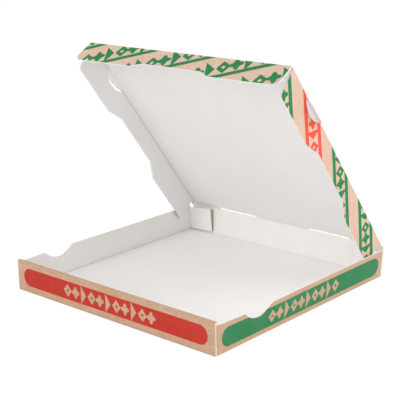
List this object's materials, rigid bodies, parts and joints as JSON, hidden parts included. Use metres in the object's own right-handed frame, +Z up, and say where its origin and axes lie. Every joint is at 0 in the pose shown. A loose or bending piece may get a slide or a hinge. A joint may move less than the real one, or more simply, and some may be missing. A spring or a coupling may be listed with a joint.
{
  "type": "pizza box",
  "caption": "Shallow square folding card box with a rolled front wall, notched side walls and a hinged lid with tuck-in flaps, stored half open.",
  "frame": {"origin": "middle of the tray's underside, on the surface the box stands on", "axes": "+X along the hinge, to the right seen from the front; -Y towards the rolled front wall; +Z up"},
  "size_m": [0.3134, 0.3043, 0.2723],
  "materials": {
    "tray_card": "matt",
    "lid_card": "matt"
  },
  "bodies": {
    "tray": {"tray": "tray_card"},
    "lid": {"lid": "lid_card"}
  },
  "joints": [
    {"name": "lid_hinge", "type": "hinge", "parent": "tray", "child": "lid", "pos_m": [0, 0.1535, 0.037], "axis": [-1, 0, 0], "range_deg": [-53, 127]}
  ]
}
